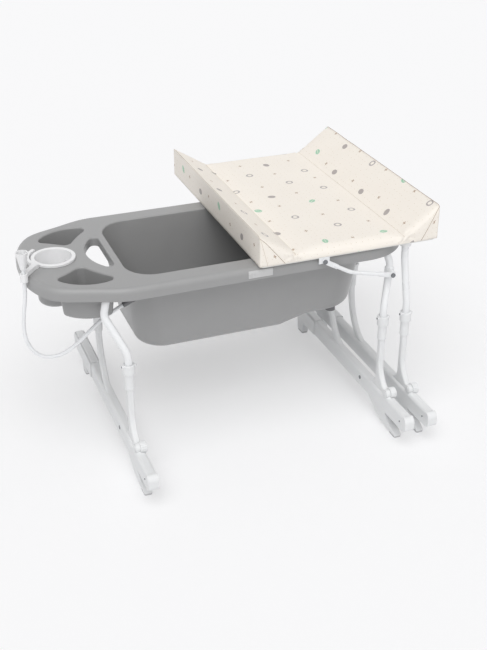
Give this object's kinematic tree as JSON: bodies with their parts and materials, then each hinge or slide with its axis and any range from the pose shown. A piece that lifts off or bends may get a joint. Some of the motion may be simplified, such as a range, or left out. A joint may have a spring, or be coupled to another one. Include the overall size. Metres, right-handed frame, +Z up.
{
  "type": "changing table with bathtub",
  "caption": "Baby bath on moulded runner frames, with a padded changing top that swings sideways off the tub on arms, a rinsing bowl and a waste hose.",
  "frame": {"origin": "on the floor under the middle of the stand's outer box, without the hose", "axes": "+X along the tub from its bowl end to the changing top, +Y from front to back, +Z up"},
  "size_m": [1.1062, 0.908, 0.6071],
  "materials": {
    "tub_plastic": "satin moulded polypropylene, mid grey",
    "fitting_plastic": "moulded, dark grey",
    "white_plastic": "gloss moulded white",
    "frame_plastic": "satin moulded white",
    "board_plastic": "plain white panel",
    "white_steel": "white powder coat",
    "bolt_steel": "plain zinc plated",
    "foot_rubber": "soft grey rubber",
    "hose_vinyl": "soft white vinyl",
    "mat_cover": "coated ivory cloth with a small print"
  },
  "bodies": {
    "stand": {"tub": "tub_plastic", "waste_valve": "fitting_plastic", "hose_spigot": "fitting_plastic", "waste_hose": "hose_vinyl", "hose_spout": "white_plastic", "hose_holder": "white_plastic", "front_tube": "white_steel", "rear_tube": "white_steel", "front_hinge_bracket": "white_steel", "rear_hinge_bracket": "white_steel", "frame_bolts": "bolt_steel", "fixed_horn_pins": "bolt_steel", "fixed_frame_screws": "bolt_steel", "left_side_frame": "frame_plastic", "left_front_cap": "frame_plastic", "left_rear_cap": "frame_plastic", "left_rear_pad": "foot_rubber", "left_collars": "frame_plastic", "near_side_frame": "frame_plastic", "near_front_cap": "frame_plastic", "near_rear_cap": "frame_plastic", "near_rear_pad": "foot_rubber", "near_collars": "frame_plastic"},
    "swing_arms": {"front_arm": "white_steel", "rear_arm": "white_steel"},
    "changing_top": {"board": "board_plastic", "mat": "mat_cover", "board_tabs": "white_steel", "board_bolts": "bolt_steel", "board_flanges": "white_plastic", "far_front_tube": "white_steel", "far_rear_tube": "white_steel", "far_horn_pins": "bolt_steel", "far_frame_screws": "bolt_steel", "far_side_frame": "frame_plastic", "far_front_cap": "frame_plastic", "far_rear_cap": "frame_plastic", "far_rear_pad": "foot_rubber", "far_collars": "frame_plastic"},
    "bowl": {"rinsing_bowl": "white_plastic"},
    "bath_plug": {"plug": "fitting_plastic"},
    "left_horn": {"left_horn_foot": "frame_plastic", "left_horn_tip": "foot_rubber"},
    "left_knob_body": {"left_knob": "frame_plastic"},
    "near_horn": {"near_horn_foot": "frame_plastic", "near_horn_tip": "foot_rubber"},
    "near_knob_body": {"near_knob": "frame_plastic"},
    "far_horn": {"far_horn_foot": "frame_plastic", "far_horn_tip": "foot_rubber"},
    "far_knob_body": {"far_knob": "frame_plastic"}
  },
  "joints": [
    {"name": "arm_swing", "type": "hinge", "parent": "stand", "child": "swing_arms", "pos_m": [0.41675, -0.01, 0.44], "axis": [0, 1, 0], "range_deg": [0, 139.8]},
    {"name": "top_level", "type": "hinge", "parent": "swing_arms", "child": "changing_top", "pos_m": [0.21275, -0.01, 0.5145], "axis": [0, 1, 0], "range_deg": [-139.8, 0]},
    {"name": "bowl_lift", "type": "slide", "parent": "stand", "child": "bowl", "axis": [0, 0, 1], "range_m": [0, 0.15]},
    {"name": "plug_lift", "type": "slide", "parent": "stand", "child": "bath_plug", "axis": [0, 0, 1], "range_m": [0, 0.04]},
    {"name": "left_horn_fold", "type": "hinge", "parent": "stand", "child": "left_horn", "pos_m": [-0.32625, -0.18, 0.076], "axis": [-1, 0, 0], "range_deg": [0, 13]},
    {"name": "left_knob_turn", "type": "hinge", "parent": "stand", "child": "left_knob_body", "pos_m": [-0.31725, -0.328, 0.105], "axis": [1, 0, 0], "range_deg": [0, 180]},
    {"name": "near_horn_fold", "type": "hinge", "parent": "stand", "child": "near_horn", "pos_m": [0.39575, -0.18, 0.076], "axis": [-1, 0, 0], "range_deg": [0, 13]},
    {"name": "near_knob_turn", "type": "hinge", "parent": "stand", "child": "near_knob_body", "pos_m": [0.40475, -0.328, 0.105], "axis": [1, 0, 0], "range_deg": [0, 180]},
    {"name": "far_horn_fold", "type": "hinge", "parent": "changing_top", "child": "far_horn", "pos_m": [0.46575, -0.18, 0.076], "axis": [-1, 0, 0], "range_deg": [0, 13]},
    {"name": "far_knob_turn", "type": "hinge", "parent": "changing_top", "child": "far_knob_body", "pos_m": [0.47475, -0.328, 0.105], "axis": [1, 0, 0], "range_deg": [0, 180]}
  ],
  "couplings": [
    {"joint": "top_level", "follows": "arm_swing", "ratio": -1}
  ]
}
